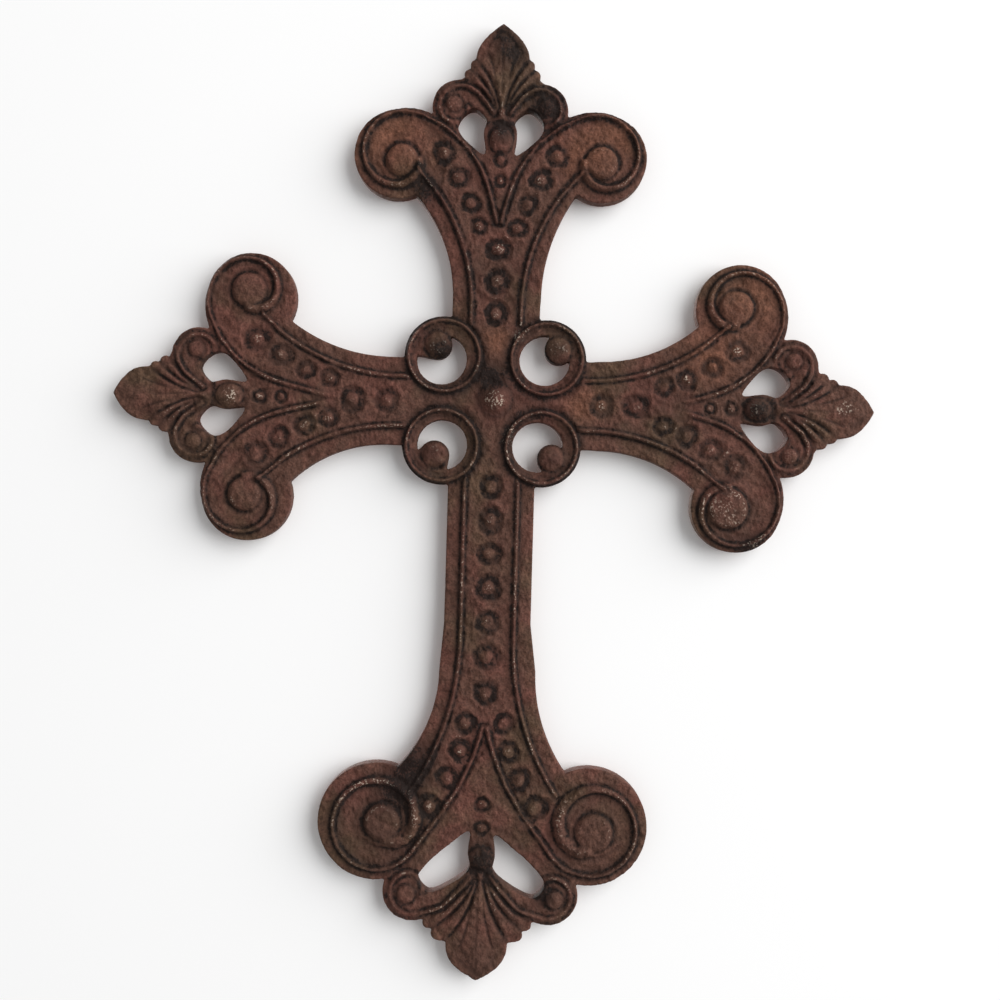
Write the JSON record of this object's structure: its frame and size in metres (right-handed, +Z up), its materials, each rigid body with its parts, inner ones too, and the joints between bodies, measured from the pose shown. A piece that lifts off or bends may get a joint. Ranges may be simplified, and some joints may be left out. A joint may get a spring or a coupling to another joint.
{
  "type": "wall cross",
  "caption": "Flat-backed cast iron wall cross: beaded arms that split into scrolls, leaf finials, and a crossing of pierced rings round a boss.",
  "frame": {"origin": "on the flat back, behind the middle of the crossing, where the cross lies against the wall", "axes": "+Z up the wall along the long arm's line, +X to the viewer's right, +Y into the wall, so the front faces -Y"},
  "size_m": [0.2568, 0.0104, 0.3229],
  "materials": {
    "rusted_cast_iron": "sand-cast iron with a dark reddish-brown rust patina, near black in the hollows and rubbed paler on the high points"
  },
  "bodies": {
    "root": {"cast_cross": "rusted_cast_iron"}
  },
  "joints": []
}
